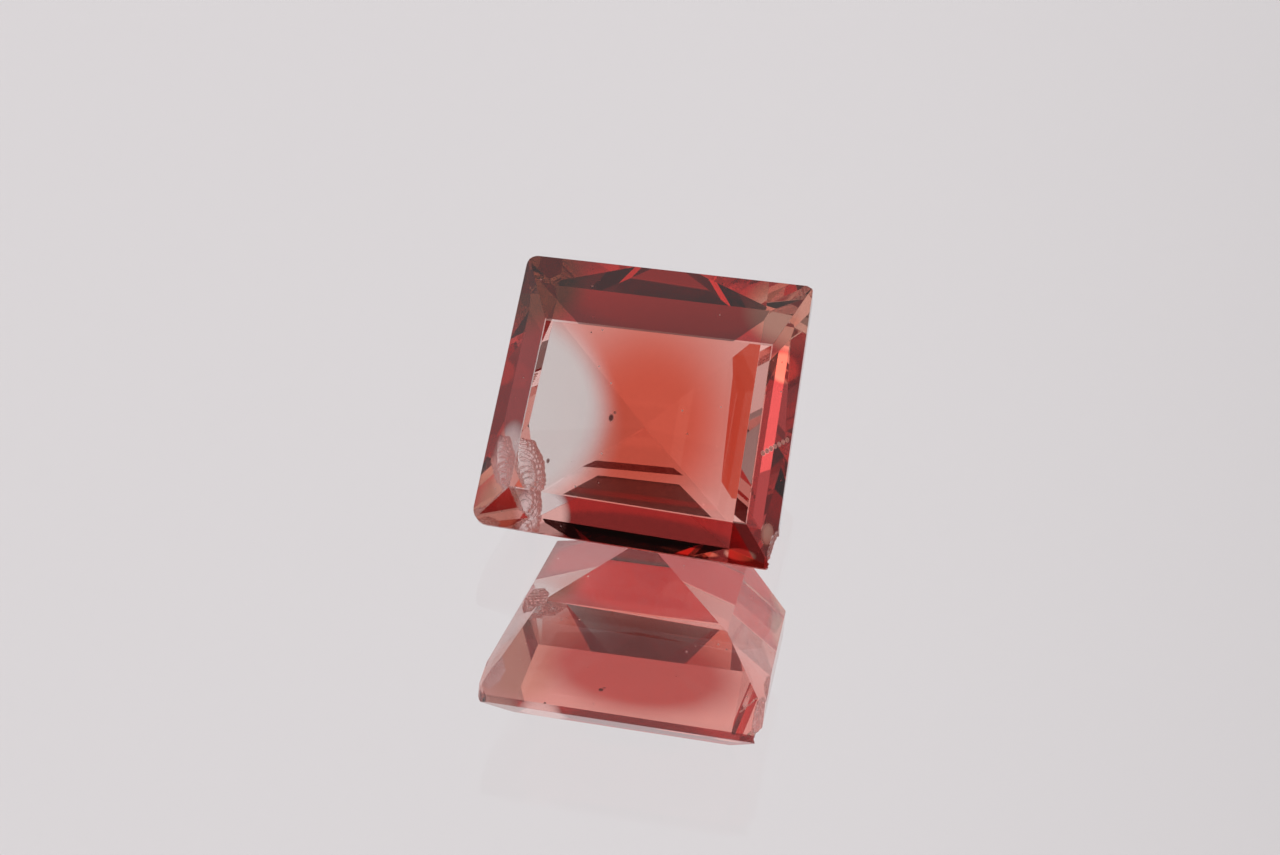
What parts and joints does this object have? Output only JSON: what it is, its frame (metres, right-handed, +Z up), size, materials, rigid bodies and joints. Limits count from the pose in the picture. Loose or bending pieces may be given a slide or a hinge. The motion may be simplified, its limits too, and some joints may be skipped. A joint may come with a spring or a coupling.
{
  "type": "faceted gemstone",
  "caption": "Square step-cut sunstone with a wide flat table and a stepped pavilion, lying on one of its shallow lower facets.",
  "frame": {"origin": "middle of the bounding box, on the surface that the stone lies on", "axes": "+Z up with the stone lying on its front base facet, X along the front girdle edge to the right, -Y towards the low front edge"},
  "size_m": [0.0064, 0.0056, 0.0043],
  "materials": {
    "feldspar": "polished facets, clear copper red"
  },
  "bodies": {
    "root": {"sunstone": "feldspar"}
  },
  "joints": []
}
